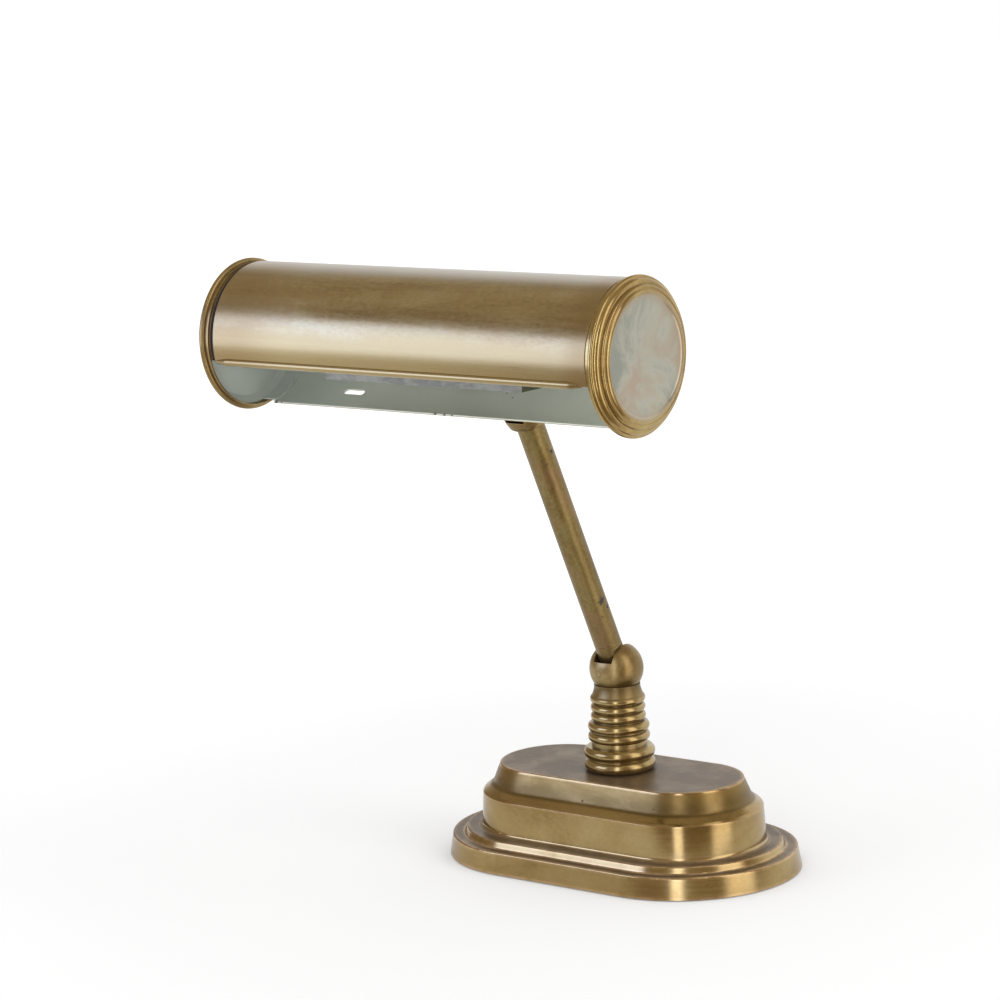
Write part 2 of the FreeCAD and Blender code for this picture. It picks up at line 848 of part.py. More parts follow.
def end_cap():
    # a pressed disc: a skirt over the tube's neck, a rolled rim, a step, a ring and a crest
    place = in_plane_xz
    bore = neck_radius + cap_gap
    skirt = shade_radius - cap_skirt_inset
    skirt_end = cap_gap - cap_stand_off
    bead_centre = shade_radius + cap_overhang - cap_bead_radius
    bead_start = place(-math.sqrt(cap_bead_radius ** 2 - (bead_centre - skirt) ** 2), skirt)
    rim = place(0, shade_radius + cap_overhang)
    bead_end = place(cap_bead_radius, bead_centre)
    step = place(cap_step_reach, shade_radius - cap_step_inset)
    groove = place(cap_groove_reach, shade_radius - cap_groove_inset)
    crest = place(cap_crest_reach, shade_radius - cap_crest_inset)
    face_edge = place(cap_face_reach, shade_radius - cap_face_inset)
    corners = [
        face_edge,
        place(cap_face_reach, 0),
        place(cap_face_reach - cap_wall, 0),
        place(cap_face_reach - cap_wall, shade_radius - cap_groove_inset),
        place(cap_seat_depth, shade_radius - cap_seat_inset),
        place(cap_seat_depth, bore),
        place(skirt_end, bore),
        place(skirt_end, skirt),
        bead_start,
    ]
    edges = [
        Part.Arc(bead_start, rim, bead_end).toShape(),
        arc_between(step, bead_end, -cap_step_bulge),
        arc_between(groove, step, -cap_ring_bulge),
        Part.Arc(groove, crest, face_edge).toShape(),
    ]
    for k in range(len(corners) - 1):
        edges.append(Part.makeLine(corners[k], corners[k + 1]))
    return Part.Face(Part.Wire(edges)).revolve(ORIGIN, X_AXIS, 360)


def make_right_end_cap():
    cap = end_cap()
    cap.translate(Vector(right_cap_position, 0, 0))
    return in_shade(cap)


def make_left_end_cap():
    cap = end_cap()
    cap.translate(Vector(left_cap_position, 0, 0))
    return in_shade(mirrored(cap))


# ---- inside the shade ----
def tab_point(away, along):
    # (y, z) on the bracket's tab: away from the shade's axis, and along the tab, downwards
    lean = math.radians(stem_lean)
    y = away * math.sin(lean) - along * math.cos(lean)
    z = -away * math.cos(lean) - along * math.sin(lean)
    return y, z


def make_lamp_bracket():
    half = sheet_thickness / 2
    web = -bracket_drop + half
    front = -bracket_front + half
    channel = bent_sheet(
        [(front, -bracket_drop + bracket_flange), (front, web), (bracket_rear, web)],
        sheet_thickness, -bracket_half_length, bracket_half_length)
    away = tab_distance - half
    tab = bent_sheet(
        [(0, web), (tab_elbow, web), tab_point(away, tab_half_height), tab_point(away, -tab_half_height)],
        sheet_thickness, -tab_half_width, tab_half_width)
    hole = rod(stud_radius + hole_gap, ORIGIN, Vector(0, -2 * shade_radius, 0))
    hole = radial_cutter(hole, 90 + stem_lean)
    body = channel.fuse(tab)
    for side in (-1, 1):
        low = side * lug_position - half
        high = low + sheet_thickness
        lug = block(Vector(low, -lug_half_width, web), Vector(high, lug_half_width, lug_top))
        body = body.fuse(lug)
    nipple_hole = along_x(stud_radius + hole_gap, -lug_position - 2, lug_position + 2)
    return in_shade(body.cut([hole, nipple_hole]).removeSplitter())


def make_lampholders():
    start = lug_position + sheet_thickness / 2
    foot_end = start + holder_foot_length
    end = start + holder_length
    body = turned_on_x([
        (start, 0, 0),
        (start, holder_foot_radius, 0),
        (foot_end, holder_foot_radius, 0),
        (foot_end, holder_radius, 0),
        (end - holder_rim_length, holder_radius, 0),
        (end - holder_rim_length, holder_rim_radius, 0),
        (end, holder_rim_radius, 0),
        (end, holder_mouth_radius, 0),
        (end - holder_mouth_depth, holder_mouth_radius, 0),
        (end - holder_mouth_depth, 0, 0),
    ])
    nipple = along_x(stud_radius, start - holder_nipple_length, start + 1)
    way = along_x(stud_bore_radius, start - holder_nipple_length - 1, start + 2)
    return in_shade(pair(body.fuse(nipple).cut(way)))


def make_holder_nuts():
    seat = lug_position - sheet_thickness / 2
    body = hexagon(holder_nut_width, 0, holder_nut_thickness)
    body = body.cut(upright(stud_radius + thread_gap, -1, holder_nut_thickness + 1))
    body.rotate(ORIGIN, Vector(0, 1, 0), 90)
    body.translate(Vector(seat - holder_nut_thickness, 0, 0))
    return in_shade(pair(body))


def bulb_start():
    # where the glass leaves the metal cap
    return lug_position + sheet_thickness / 2 + holder_length - holder_mouth_depth + bulb_cap_length


def make_bulb_caps():
    end = bulb_start()
    start = end - bulb_cap_length
    body = turned_on_x([
        (start, 0, 0),
        (start, bulb_contact_radius, 0),
        (start + bulb_contact_length, bulb_cap_radius, 0),
        (end, bulb_cap_radius, 0),
        (end, 0, 0),
    ])
    return in_shade(pair(body))


def glass_body(inset):
    # a tubular bulb: a neck, a sloping shoulder and a round end
    start = bulb_start() + inset
    end = bulb_start() + bulb_length - inset
    radius = bulb_radius - inset
    return turned_on_x([
        (start, 0, 0),
        (start, bulb_neck_radius - inset, 0),
        (bulb_start() + bulb_neck_length, bulb_neck_radius - inset, 0),
        (bulb_start() + bulb_shoulder, radius, 0),
        (end, radius, radius),
        (end, 0, 0),
    ])


def make_bulb_glasses():
    return in_shade(pair(glass_body(0).cut(glass_body(glass_wall))))


def make_holder_leads():
    # one lead to each lampholder: up the stem, then round a bend to the holder's nipple
    lean = math.radians(stem_lean)
    out = Vector(0, math.sin(lean), -math.cos(lean))
    side = holder_lead_radius
    tip = lug_position + sheet_thickness / 2 - holder_nipple_length - 0.2
    stem_mouth = stem_reach - stem_thread_end
    start = out * (stem_mouth + lead_in_stem) + X_AXIS * side
    bend_start = out * lead_bend + X_AXIS * side
    bend_end = X_AXIS * (side + lead_bend)
    centre = bend_start + X_AXIS * lead_bend
    middle = centre - (X_AXIS + out) * (lead_bend / math.sqrt(2))
    path = Part.Wire([
        Part.makeLine(start, bend_start),
        Part.Arc(bend_start, middle, bend_end).toShape(),
        Part.makeLine(bend_end, Vector(tip, 0, 0)),
    ])
    section = Part.Wire(Part.makeCircle(holder_lead_radius, start, out))
    lead = path.makePipeShell([section], True, True)
    return in_shade(pair(lead))


nodes = {
    "base_casing": make_base_casing,
    "cord_bush": make_cord_bush,
    "felt_pad": make_felt_pad,
    "bottom_plate": make_bottom_plate,
    "plate_screws": make_plate_screws,
    "base_weight": make_base_weight,
    "base_stud": make_base_stud,
    "stud_nuts": make_stud_nuts,
    "stud_washers": make_stud_washers,
    "spindle": make_spindle,
    "lower_knuckle": make_lower_knuckle,
    "lower_pivot_screw": make_lower_pivot_screw,
    "arm_tongue": make_arm_tongue,
    "arm_tube": make_arm_tube,
    "arm_lead": make_arm_lead,
    "upper_knuckle": make_upper_knuckle,
    "upper_pivot_screw": make_upper_pivot_screw,
    "shade_stem": make_shade_stem,
    "saddle_washer": make_saddle_washer,
    "stem_nut": make_stem_nut,
    "shade_shell": make_shade_shell,
    "left_end_cap": make_left_end_cap,
    "right_end_cap": make_right_end_cap,
    "lamp_bracket": make_lamp_bracket,
    "lampholders": make_lampholders,
    "holder_nuts": make_holder_nuts,
    "bulb_caps": make_bulb_caps,
    "bulb_glasses": make_bulb_glasses,
    "holder_leads": make_holder_leads,
}

os.makedirs("parts", exist_ok=True)
for name, make in nodes.items():
    shape = make()
    solids = shape.Solids
    volume = sum(solid.Volume for solid in solids)
    print(f"{name}: {len(solids)} solid(s), {volume / 1000:.2f} cm3, valid {shape.isValid()}")
    if len(solids) == 1:
        shape = solids[0]
    shape.exportStep(os.path.join("parts", name + ".step"))
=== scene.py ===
import bpy
import math
from mathutils import Matrix, Vector


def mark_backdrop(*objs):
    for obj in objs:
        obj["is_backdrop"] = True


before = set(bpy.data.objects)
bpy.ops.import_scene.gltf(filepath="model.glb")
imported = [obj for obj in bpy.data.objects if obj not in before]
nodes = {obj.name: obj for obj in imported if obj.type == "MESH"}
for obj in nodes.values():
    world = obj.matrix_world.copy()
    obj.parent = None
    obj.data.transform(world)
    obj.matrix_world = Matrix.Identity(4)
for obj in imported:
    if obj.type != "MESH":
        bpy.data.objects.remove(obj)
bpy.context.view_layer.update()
print("frame loaded:", len(nodes), "parts")

white = (1.0, 1.0, 1.0)
shadeAxis = {"y": -0.155527, "z": 0.329894}  # where the shade's own axis runs, in metres


# helpers for material nodes: a value may be a number, a colour or another node's output
def newMaterial(name):
    material = bpy.data.materials.new(name)
    material.use_nodes = True
    tree = material.node_tree
    return material, tree, tree.nodes["Principled BSDF"]


def feed(tree, socket, value):
    if isinstance(value, bpy.types.NodeSocket):
        tree.links.new(value, socket)
    elif isinstance(value, (tuple, list)) and len(value) == 3 and len(socket.default_value) == 4:
        socket.default_value = (*value, 1.0)
    else:
        socket.default_value = value


def calc(tree, operation, a, b=0.0, clamp=False):
    made = tree.nodes.new("ShaderNodeMath")
    made.operation = operation
    made.use_clamp = clamp
    feed(tree, made.inputs[0], a)
    feed(tree, made.inputs[1], b)
    return made.outputs[0]


def product(tree, first, *others):
    for other in others:
        first = calc(tree, "MULTIPLY", first, other)
    return first


def total(tree, first, *others):
    for other in others:
        first = calc(tree, "ADD", first, other)
    return first


def highest(tree, first, *others):
    for other in others:
        first = calc(tree, "MAXIMUM", first, other)
    return first


def opposite(tree, value):
    return calc(tree, "SUBTRACT", 1.0, value)


def swing(tree, pattern, width):
    # a noise's ups and downs round zero, as wide as told
    return product(tree, calc(tree, "SUBTRACT", pattern, 0.5), width)


def between(tree, value, low, high, start=0.0, end=1.0):
    # a smooth step: start at low, end at high
    made = tree.nodes.new("ShaderNodeMapRange")
    made.interpolation_type = "SMOOTHSTEP"
    for socket, number in zip(made.inputs[1:5], (low, high, start, end)):
        feed(tree, socket, number)
    feed(tree, made.inputs[0], value)
    return made.outputs[0]


def window(tree, value, low, high, blur):
    rise = between(tree, value, low - blur, low + blur)
    return product(tree, rise, between(tree, value, high + blur, high - blur))


def mixColour(tree, factor, a, b):
    made = tree.nodes.new("ShaderNodeMix")
    made.data_type = "RGBA"
    made.clamp_factor = True
    feed(tree, made.inputs[0], factor)
    feed(tree, made.inputs[6], a)
    feed(tree, made.inputs[7], b)
    return made.outputs[2]


def mixNumber(tree, factor, a, b):
    made = tree.nodes.new("ShaderNodeMix")
    for socket, value in zip((made.inputs[0], made.inputs[2], made.inputs[3]), (factor, a, b)):
        feed(tree, socket, value)
    return made.outputs[0]


def stretched(tree, vector, scale):
    made = tree.nodes.new("ShaderNodeMapping")
    made.inputs["Scale"].default_value = scale
    tree.links.new(vector, made.inputs["Vector"])
    return made.outputs[0]


def noise(tree, vector, scale, detail=4.0, rough=0.55, distortion=0.0):
    made = tree.nodes.new("ShaderNodeTexNoise")
    made.inputs["Scale"].default_value = scale
    made.inputs["Detail"].default_value = detail
    made.inputs["Roughness"].default_value = rough
    made.inputs["Distortion"].default_value = distortion
    tree.links.new(vector, made.inputs["Vector"])
    return made.outputs["Fac"]


def streaks(tree, vector, stretch, *grain):
    # a noise whose scale is set for x, y and z on their own
    return noise(tree, stretched(tree, vector, stretch), 1.0, *grain)


def colourRamp(tree, factor, places, colours):
    made = tree.nodes.new("ShaderNodeValToRGB")
    ramp = made.color_ramp
    ramp.elements[0].position, ramp.elements[0].color = places[0], (*colours[0], 1.0)
    ramp.elements[1].position, ramp.elements[1].color = places[-1], (*colours[-1], 1.0)
    for place, colour in zip(places[1:-1], colours[1:-1]):
        ramp.elements.new(place).color = (*colour, 1.0)
    feed(tree, made.inputs[0], factor)
    return made.outputs[0]


def restPlace(tree):
    # coordinates fixed to the piece, in the lamp's frame at rest, and the surface's direction there
    made = tree.nodes.new("ShaderNodeTexCoord")
    return made.outputs["Object"], made.outputs["Normal"]


def parts(tree, vector):
    made = tree.nodes.new("ShaderNodeSeparateXYZ")
    tree.links.new(vector, made.inputs[0])
    return made.outputs[0], made.outputs[1], made.outputs[2]


def shadeRadius(tree, y, z):
    # distance from the shade's axis
    across = calc(tree, "SUBTRACT", y, shadeAxis["y"])
    up = calc(tree, "SUBTRACT", z, shadeAxis["z"])
    return calc(tree, "SQRT", total(tree, product(tree, across, across), product(tree, up, up)))


def roundedEdgeMask(tree, radius, low, high, samples=4):
    # where a rounded normal leaves the true one, the surface has an edge
    bevel = tree.nodes.new("ShaderNodeBevel")
    bevel.samples = samples
    bevel.inputs["Radius"].default_value = radius
    geometry = tree.nodes.new("ShaderNodeNewGeometry")
    made = tree.nodes.new("ShaderNodeVectorMath")
    made.operation = "DOT_PRODUCT"
    tree.links.new(bevel.outputs[0], made.inputs[0])
    tree.links.new(geometry.outputs["Normal"], made.inputs[1])
    return between(tree, made.outputs["Value"], high, low)


def crevices(tree, reach, low, high, samples=6):
    occlusion = tree.nodes.new("ShaderNodeAmbientOcclusion")
    occlusion.samples = samples
    occlusion.inputs["Distance"].default_value = reach
    return between(tree, occlusion.outputs["AO"], high, low)


def bump(tree, height, strength, depth):
    made = tree.nodes.new("ShaderNodeBump")
    made.inputs["Strength"].default_value = strength
    made.inputs["Distance"].default_value = depth
    tree.links.new(height, made.inputs["Height"])
    return made.outputs[0]


def leaned(tree, vector, degrees):
    # turns a leaning rod's coordinates upright
    made = tree.nodes.new("ShaderNodeVectorRotate")
    made.rotation_type = "X_AXIS"
    made.inputs["Angle"].default_value = -math.radians(degrees)
    tree.links.new(vector, made.inputs["Vector"])
    return made.outputs[0]


def distance(tree, place, centre):
    away = tree.nodes.new("ShaderNodeVectorMath")
    away.operation = "DISTANCE"
    tree.links.new(place, away.inputs[0])
    away.inputs[1].default_value = centre
    return away.outputs["Value"]


# small dents and chips: each one is x, y, z and a size in metres
spotLook = {
    "scale": 700.0,
    "grain": (3.0, 0.6),
    "ragged": 3.0,  # how far the edge wanders, in sizes
    "core": 0.6,  # the share of the size that is solid
}


def allSpots(tree, place, spots):
    # 1 inside a spot and 0 outside, with the edges broken up
    if not spots:
        return 0.0
    ragged = noise(tree, place, spotLook["scale"], *spotLook["grain"])
    found = 0.0
    for x, y, z, size in spots:
        reach = total(
            tree, distance(tree, place, (x, y, z)), swing(tree, ragged, size * spotLook["ragged"]))
        found = highest(tree, between(tree, reach, size, size * spotLook["core"]), found)
    return found


# aged brass, as every brass piece has it unless its own dictionary says otherwise
brassLook = {
    # three tones of bare metal, and the levels of the pattern where each of them stands
    "dark": (0.25, 0.17, 0.062),
    "middle": (0.37, 0.27, 0.115),
    "light": (0.46, 0.36, 0.18),
    "toneAt": (0.36, 0.50, 0.64),
    # the pattern: blotches, fine stipple and brush lines, each with its tightness along x, y and z
    "blotch": (24.0, 24.0, 24.0),
    "blotchGrain": (5.0, 0.62, 0.6),
    "stipple": (520.0, 520.0, 520.0),
    "stippleShare": 0.26,
    "brush": (8.0, 8.0, 900.0),
    "topBrush": (8.0, 900.0, 8.0),  # the brush lines on faces that look up
    "brushShare": 0.10,
    "fineGrain": (2.0, 0.6),
    "lean": 0.0,  # degrees that a leaning rod's pattern is turned by
    # rosy patches
    "rosy": (0.36, 0.23, 0.115),
    "rosyScale": 38.0,
    "rosyGrain": (4.0, 0.6, 0.8),
    "rosyRange": (0.48, 0.66),
    "rosyShare": 0.25,
    # dull film on faces that look up, with none between the two heights of noFilm
    "film": (0.145, 0.103, 0.07),
    "filmStreak": (0.19, 0.135, 0.085),
    "streakRange": (0.3, 0.7),
    "filmScale": 50.0,
    "filmGrain": (4.0, 0.6),
    "filmRange": (0.3, 0.6),
    "filmLeast": 0.75,
    "filmShare": 0.0,
    "filmFacing": (0.55, 0.90),
    "noFilm": (0.0185, 0.0530),
    "noFilmBlur": 0.0005,
    # darker colour in a hollow between two heights, painted shade with some patina; a share of 0 leaves
    # it out
    "hollow": (0.0, 0.0),
    "hollowBlur": 0.0006,
    "hollowShare": 0.0,
    "hollowPatch": 0.8,
    "hollowRange": (0.38, 0.56),
    "hollowWave": 0.004,
    # grime and painted shade in corners, darkened where the occlusion node finds them
    "grimeAndShade": (0.05, 0.032, 0.015),
    "grimeAndShadeShare": 0.45,
    "grimeAndShadeReach": 0.004,
    "grimeAndShadeRange": (0.35, 0.85),
    # bright edges: rubbed brass, partly a painted highlight
    "wornAndHighlit": (0.66, 0.44, 0.23),
    "wornAndHighlitShare": 0.7,
    "edgeRadius": 0.0008,
    "edgeRange": (0.90, 0.99),
    "wearScale": 120.0,
    "wearPatch": (0.30, 0.62),
    "wearLeast": 0.35,
    # dark marks, and ring marks with a centre and an outer radius
    "markColour": (0.040, 0.026, 0.018),
    "marks": (),
    "plug": (),
    "plugRing": 0.0005,
    "plugBlur": 0.0002,
    "plugShare": 0.40,
    # how rough each layer is, and how much of the metal's shine it takes away
    "roughness": 0.24,
    "roughSpread": 0.22,
    "brushRough": 0.08,
    "dullRough": 0.30,
    "hollowRough": 0.22,
    "grimeAndShadeRough": 0.20,
    "filmDull": 0.6,
    "grimeAndShadeDull": 0.5,
    "bumpStrength": 0.04,
    "bumpDepth": 0.0002,
    "stippleRelief": 0.3,
    "coat": 0.25,
    "coatRoughness": 0.25,
}


def brassLayers(tree, look):
    place, normal = restPlace(tree)
    grain = leaned(tree, place, look["lean"]) if look["lean"] else place
    height = parts(tree, place)[2]
    onTop = between(tree, parts(tree, normal)[2], *look["filmFacing"])
    blotch = streaks(tree, grain, look["blotch"], *look["blotchGrain"])
    stipple = streaks(tree, grain, look["stipple"], *look["fineGrain"])
    sideBrush = streaks(tree, grain, look["brush"], *look["fineGrain"])
    topBrush = streaks(tree, grain, look["topBrush"], *look["fineGrain"])
    brush = mixNumber(tree, onTop, sideBrush, topBrush)

    # bare metal with its rosy patches
    blotchShare = 1.0 - look["stippleShare"] - look["brushShare"]
    fine = total(
        tree, product(tree, stipple, look["stippleShare"]), product(tree, brush, look["brushShare"]))
    tone = total(tree, product(tree, blotch, blotchShare), fine)
    colour = colourRamp(tree, tone, look["toneAt"], (look["dark"], look["middle"], look["light"]))
    rosyNoise = noise(tree, grain, look["rosyScale"], *look["rosyGrain"])
    rosy = between(tree, rosyNoise, *look["rosyRange"], 0.0, look["rosyShare"])
    colour = mixColour(tree, rosy, colour, look["rosy"])

    # film
    filmNoise = noise(tree, place, look["filmScale"], *look["filmGrain"])
    film = between(tree, filmNoise, *look["filmRange"], look["filmLeast"], 1.0)
    film = product(tree, film, onTop, look["filmShare"])
    film = product(tree, film, opposite(tree, window(tree, height, *look["noFilm"], look["noFilmBlur"])))
    streak = between(tree, topBrush, *look["streakRange"])
    colour = mixColour(tree, film, colour, mixColour(tree, streak, look["film"], look["filmStreak"]))

    # painted shade in the hollow, with some patina
    hollowShade = 0.0
    if look["hollowShare"]:
        patch = between(tree, blotch, *look["hollowRange"], 1.0, look["hollowPatch"])
        hollowShade = window(tree, height, *look["hollow"], look["hollowBlur"])
        hollowShade = product(tree, hollowShade, look["hollowShare"], patch)
        uneven = total(tree, height, swing(tree, blotch, look["hollowWave"]))
        turn = between(tree, uneven, *look["hollowTurn"])
        colour = mixColour(
            tree, hollowShade, colour, mixColour(tree, turn, look["hollowLow"], look["hollowHigh"]))

    # painted shade and grime in corners, worn edges with a painted highlight, and marks
    grimeAndShade = product(tree, crevices(tree, look["grimeAndShadeReach"], *look["grimeAndShadeRange"]), look["grimeAndShadeShare"])
    colour = mixColour(tree, grimeAndShade, colour, look["grimeAndShade"])
    patch = between(
        tree, noise(tree, place, look["wearScale"]), *look["wearPatch"], look["wearLeast"], 1.0)
    roundedEdge = roundedEdgeMask(tree, look["edgeRadius"], *look["edgeRange"])
    colour = mixColour(tree, product(tree, roundedEdge, patch, look["wornAndHighlitShare"]), colour, look["wornAndHighlit"])
    mark = allSpots(tree, place, look["marks"])
    for centre, size in look["plug"]:
        away = distance(tree, place, centre)
        ring = window(tree, away, size - look["plugRing"], size, look["plugBlur"])
        mark = highest(tree, mark, product(tree, ring, look["plugShare"]))
    colour = mixColour(tree, mark, colour, look["markColour"])

    # roughness, shine and relief
    rough = total(
        tree,
        swing(tree, blotch, look["roughSpread"]),
        look["roughness"],
        swing(tree, brush, look["brushRough"]),
        product(tree, highest(tree, film, mark), look["dullRough"]),
        product(tree, hollowShade, look["hollowRough"]))
    rough = calc(tree, "ADD", rough, product(tree, grimeAndShade, look["grimeAndShadeRough"]), clamp=True)
    dull = highest(tree, product(tree, film, look["filmDull"]), mark)
    metal = opposite(tree, highest(tree, dull, product(tree, grimeAndShade, look["grimeAndShadeDull"])))
    relief = total(tree, product(tree, stipple, look["stippleRelief"]), brush)
    return colour, metal, rough, bump(tree, relief, look["bumpStrength"], look["bumpDepth"])


def brass(name, changes):
    look = {**brassLook, **changes}
    material, tree, shader = newMaterial(name)
    colour, metal, rough, dent = brassLayers(tree, look)
    feed(tree, shader.inputs["Base Color"], colour)
    feed(tree, shader.inputs["Metallic"], metal)
    feed(tree, shader.inputs["Roughness"], rough)
    feed(tree, shader.inputs["Normal"], dent)
    shader.inputs["Coat Weight"].default_value = look["coat"]
    shader.inputs["Coat Roughness"].default_value = look["coatRoughness"]
    return material


def dress(material, *names):
    for name in names:
        data = nodes[name].data
        data.materials.clear()
        data.materials.append(material)


# base: brushed, with a dark film on its level faces and painted shade, with some patina, in the hollow
# under the top
baseLook = {
    "dark": (0.285, 0.191, 0.068),
    "middle": (0.395, 0.277, 0.113),
    "light": (0.47, 0.354, 0.163),
    "blotch": (18.0, 18.0, 30.0),
    "stippleShare": 0.16,
    "brush": (8.0, 8.0, 900.0),
    "topBrush": (9.0, 480.0, 9.0),
    "film": (0.108, 0.071, 0.044),
    "filmStreak": (0.140, 0.094, 0.058),
    "filmShare": 0.95,
    "hollow": (0.0418, 0.0538),
    "hollowTurn": (0.0455, 0.0525),
    "hollowHigh": (0.250, 0.164, 0.052),
    "hollowLow": (0.175, 0.117, 0.040),
    "hollowShare": 0.95,
    "hollowPatch": 0.7,
    "wornAndHighlit": (0.74, 0.50, 0.27),
    "wornAndHighlitShare": 1.0,
    "edgeRadius": 0.0030,
    "roughness": 0.17,
    "roughSpread": 0.10,
    "coat": 0.10,
    "marks": ((0.0006, -0.0398, 0.0447, 0.0010), (0.0507, -0.0387, 0.0456, 0.0005)),
}
dress(brass("baseBrass", baseLook), "base_casing")

# spindle: turned, with painted shade in the cove under the ball
spindleLook = {
    "dark": (0.28, 0.195, 0.070),
    "middle": (0.41, 0.298, 0.122),
    "light": (0.49, 0.38, 0.18),
    "blotch": (40.0, 40.0, 40.0),
    "brush": (8.0, 8.0, 1200.0),
    "hollow": (0.0992, 0.1085),
    "hollowTurn": (0.0992, 0.1060),
    "hollowHigh": (0.17, 0.115, 0.042),
    "hollowLow": (0.29, 0.205, 0.083),
    "hollowShare": 1.0,
    "wornAndHighlitShare": 0.3,
    "grimeAndShadeShare": 0.5,
    "roughness": 0.22,
    "roughSpread": 0.12,
}
dress(brass("spindleBrass", spindleLook), "spindle")

# knuckles and stem: the spindle's brass, darker and duller, with less stipple
knuckleLook = {
    **spindleLook,
    "dark": (0.21, 0.14, 0.047),
    "middle": (0.31, 0.212, 0.080),
    "light": (0.42, 0.315, 0.135),
    "stippleShare": 0.15,
    "stippleRelief": 0.12,
    "hollowShare": 0.0,
    "wornAndHighlitShare": 0.6,
    "grimeAndShadeShare": 0.35,
    "roughness": 0.36,
    "plug": (((-0.0017, -0.0141, 0.1153), 0.0029),),
}
dress(brass("knuckleBrass", knuckleLook), "lower_knuckle", "upper_knuckle", "shade_stem")

screwLook = {
    "dark": (0.15, 0.10, 0.04),
    "middle": (0.26, 0.19, 0.08),
}
dress(brass("screwBrass", screwLook), "lower_pivot_screw", "upper_pivot_screw")

# arm: drawn tube, rubbed dull, with its lines along the tube
armLook = {
    "dark": (0.165, 0.114, 0.035),
    "middle": (0.255, 0.178, 0.060),
    "light": (0.335, 0.275, 0.105),
    "rosy": (0.33, 0.20, 0.10),
    "rosyShare": 0.5,
    "lean": 25.16,
    "blotch": (70.0, 70.0, 20.0),
    "brush": (500.0, 500.0, 14.0),
    "topBrush": (500.0, 500.0, 14.0),
    "brushShare": 0.18,
    "roughness": 0.42,
    "marks": (
        (0.0080, -0.0652, 0.2566, 0.0015),
        (0.0066, -0.0676, 0.2495, 0.0008),
        (0.0079, -0.0230, 0.1618, 0.0025),
        (0.0078, -0.0171, 0.1571, 0.0016),
        (0.0069, -0.0213, 0.1518, 0.0007),
    ),
}
dress(brass("armBrass", armLook), "arm_tube", "arm_tongue")
print("base, spindle, knuckles and arm finished")


# pale paint inside the shade and the caps, darker towards the left end and lighter towards the right as
# painted shade and painted light
paintLook = {
    "colour": (0.73, 0.77, 0.68),
    "leftPaintedShade": (0.62, 0.67, 0.62),
    "leftRange": (-0.06, -0.13),
    "rightPaintedLight": (0.84, 0.88, 0.78),
    "rightRange": (0.02, 0.12),
    "dirty": (0.58, 0.61, 0.52),
    "dirtyScale": 18.0,
    "dirtyGrain": (5.0, 0.6),
    "dirtyRange": (0.42, 0.72),
    "dirtyShare": 0.5,
    "roughness": 0.38,
}


def paintColour(tree, place):
    cloud = noise(tree, place, paintLook["dirtyScale"], *paintLook["dirtyGrain"])
    along = parts(tree, place)[0]
    atLeft = between(tree, along, *paintLook["leftRange"])
    atRight = between(tree, along, *paintLook["rightRange"])
    clean = mixColour(tree, atLeft, paintLook["colour"], paintLook["leftPaintedShade"])
    clean = mixColour(tree, atRight, clean, paintLook["rightPaintedLight"])
    dirt = between(tree, cloud, *paintLook["dirtyRange"], 0.0, paintLook["dirtyShare"])
    return mixColour(tree, dirt, clean, paintLook["dirty"])


# shade: one sheet, brass outside and paint inside
shadeLook = {
    "dark": (0.325, 0.24, 0.113),
    "middle": (0.44, 0.347, 0.178),
    "light": (0.51, 0.43, 0.25),
    "blotch": (9.0, 60.0, 60.0),
    "stipple": (300.0, 620.0, 620.0),
    "stippleShare": 0.26,
    "stippleRelief": 0.2,
    "bumpStrength": 0.035,
    "brush": (10.0, 800.0, 800.0),
    "topBrush": (10.0, 800.0, 800.0),
    "brushShare": 0.08,
    "rosyShare": 0.30,
    "edgeRadius": 0.0006,
    "roughness": 0.30,
    "roughSpread": 0.16,
    "coat": 0.35,
    "coatRoughness": 0.22,
    # painted reflection round the tube, by degrees up from straight ahead: greyer on top, golden at the
    # lip
    "topPaintedReflection": (0.385, 0.335, 0.265),
    "topRange": (58.0, 76.0),
    "topShare": 0.85,
    "lowPaintedReflection": (0.425, 0.315, 0.135),
    "lowRange": (20.0, 7.0),
    "lowShare": 0.85,
    "slopeStretch": (12.0, 30.0, 30.0),
    "slopeWave": 22.0,
    # darker ends, by place along the tube
    "endTone": (0.29, 0.185, 0.068),
    "endRange": (-0.070, -0.112),
    "endShare": 0.45,
    "rightEndRange": (0.110, 0.128),
    "rightEndShare": 0.55,
    # where the paint starts, how far the bare necks reach, and the open gap beside the left cap, painted
    # dark as shade
    "paintRadius": (0.04120, 0.04100),
    "neckRadius": 0.0395,
    "neckFrom": 0.1306,
    "gapFrom": -0.1290,
    "gapTo": -0.1262,
    "gapBlur": 0.0002,
    "gapShadeColour": (0.012, 0.010, 0.008),
    "gapRoughness": 0.9,
    # chips in the paint: x, y, z and size
    "chip": (0.06, 0.045, 0.03),
    "chips": (
        (-0.1240, -0.1481, 0.2897, 0.0012),
        (-0.1205, -0.1481, 0.2897, 0.0008),
        (-0.0085, -0.1481, 0.2897, 0.0012),
        (-0.0020, -0.1481, 0.2897, 0.0009),
        (0.0035, -0.1481, 0.2897, 0.0006),
        (0.0319, -0.1299, 0.2986, 0.0006),
        (0.0264, -0.1281, 0.3003, 0.0005),
    ),
}


